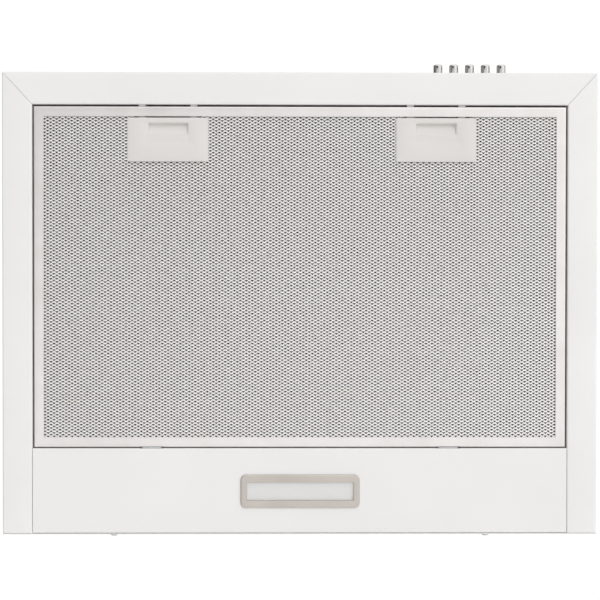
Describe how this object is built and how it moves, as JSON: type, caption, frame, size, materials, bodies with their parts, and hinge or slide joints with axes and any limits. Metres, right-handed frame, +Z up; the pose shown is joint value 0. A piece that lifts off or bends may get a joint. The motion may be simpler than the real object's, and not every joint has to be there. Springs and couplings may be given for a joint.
{
  "type": "under cabinet range hood",
  "caption": "Slim white range hood that fixes under a wall cabinet, with a swing-down grease filter, a lamp panel, front push buttons and a blower under a round duct collar.",
  "frame": {"origin": "middle of the flat top face, which screws up against the cabinet", "axes": "+X to the cook's right, +Y back towards the wall, +Z up"},
  "size_m": [0.6, 0.4802, 0.1616],
  "materials": {
    "white_paint": "satin powder coat",
    "aluminium": "bare expanded and roll-formed aluminium",
    "grey_plastic": "fine matt moulding",
    "chrome": "bright plated",
    "satin_metal": "satin nickel",
    "opal_lens": "frosted opal",
    "led_board": "white solder mask",
    "white_plastic": "moulded",
    "black_plastic": "moulded",
    "zinc_steel": "zinc plated",
    "cable": "grey cable sheath"
  },
  "bodies": {
    "housing": {"front_fascia": "white_paint", "top_shell": "white_paint", "side_panel_left": "white_paint", "side_panel_right": "white_paint", "back_panel": "white_paint", "lamp_panel": "white_paint", "rear_screw_left": "zinc_steel", "rear_screw_right": "zinc_steel", "volute_left": "white_plastic", "volute_right": "white_plastic", "inlet_grille_left": "black_plastic", "inlet_grille_right": "black_plastic", "motor_stator": "zinc_steel", "blower_screw_1": "zinc_steel", "blower_screw_2": "zinc_steel", "blower_screw_3": "zinc_steel", "blower_screw_4": "zinc_steel", "duct_collar": "black_plastic", "flap_pin": "zinc_steel", "collar_screw_1": "zinc_steel", "collar_screw_2": "zinc_steel", "collar_screw_3": "zinc_steel", "collar_screw_4": "zinc_steel", "lamp_bezel": "satin_metal", "lamp_lens": "opal_lens", "lamp_housing": "white_plastic", "led_board": "led_board", "led_driver": "white_plastic", "switch_block": "black_plastic", "switch_bracket": "zinc_steel", "terminal_box": "white_plastic", "terminal_lid": "white_plastic", "cable_gland": "black_plastic", "capacitor": "white_plastic", "motor_lead": "cable", "switch_lead": "cable", "driver_lead": "cable", "lamp_lead": "cable"},
    "impeller": {"impeller": "black_plastic", "motor_shaft": "zinc_steel"},
    "flap_front": {"flap_front": "black_plastic"},
    "flap_rear": {"flap_rear": "black_plastic"},
    "filter": {"filter_frame": "aluminium", "filter_mesh_front": "aluminium", "filter_inner_foil": "aluminium", "filter_mesh_back": "aluminium", "latch_plate_left": "grey_plastic", "latch_plate_right": "grey_plastic", "latch_spring_left": "zinc_steel", "latch_spring_right": "zinc_steel"},
    "latch_left": {"latch_slide_left": "grey_plastic"},
    "latch_right": {"latch_slide_right": "grey_plastic"},
    "button_off": {"button_off": "chrome"},
    "button_speed_1": {"button_speed_1": "chrome"},
    "button_speed_2": {"button_speed_2": "chrome"},
    "button_speed_3": {"button_speed_3": "chrome"},
    "button_light": {"button_light": "chrome"}
  },
  "joints": [
    {"name": "filter_hinge", "type": "hinge", "parent": "housing", "child": "filter", "pos_m": [0, 0.1464, -0.1288], "axis": [1, 0, 0], "range_deg": [0, 75]},
    {"name": "impeller_spin", "type": "hinge", "parent": "housing", "child": "impeller", "pos_m": [0, 0.062, -0.056], "axis": [1, 0, 0], "continuous": true},
    {"name": "flap_front_swing", "type": "hinge", "parent": "housing", "child": "flap_front", "pos_m": [0, 0.095, 0.007], "axis": [-1, 0, 0], "range_deg": [0, 80]},
    {"name": "flap_rear_swing", "type": "hinge", "parent": "housing", "child": "flap_rear", "pos_m": [0, 0.095, 0.007], "axis": [1, 0, 0], "range_deg": [0, 80]},
    {"name": "latch_left_slide", "type": "slide", "parent": "filter", "child": "latch_left", "axis": [0, 1, 0], "range_m": [0, 0.005], "stiffness_N_per_m": 600, "springref_m": -0.003, "deforming": ["latch_spring_left"]},
    {"name": "latch_right_slide", "type": "slide", "parent": "filter", "child": "latch_right", "axis": [0, 1, 0], "range_m": [0, 0.005], "stiffness_N_per_m": 600, "springref_m": -0.003, "deforming": ["latch_spring_right"]},
    {"name": "button_off_press", "type": "slide", "parent": "housing", "child": "button_off", "axis": [0, 1, 0], "range_m": [0, 0.0035], "stiffness_N_per_m": 400, "springref_m": -0.002},
    {"name": "button_speed_1_press", "type": "slide", "parent": "housing", "child": "button_speed_1", "axis": [0, 1, 0], "range_m": [0, 0.0035], "stiffness_N_per_m": 400, "springref_m": -0.002},
    {"name": "button_speed_2_press", "type": "slide", "parent": "housing", "child": "button_speed_2", "axis": [0, 1, 0], "range_m": [0, 0.0035], "stiffness_N_per_m": 400, "springref_m": -0.002},
    {"name": "button_speed_3_press", "type": "slide", "parent": "housing", "child": "button_speed_3", "axis": [0, 1, 0], "range_m": [0, 0.0035], "stiffness_N_per_m": 400, "springref_m": -0.002},
    {"name": "button_light_press", "type": "slide", "parent": "housing", "child": "button_light", "axis": [0, 1, 0], "range_m": [0, 0.0035], "stiffness_N_per_m": 400, "springref_m": -0.002}
  ]
}
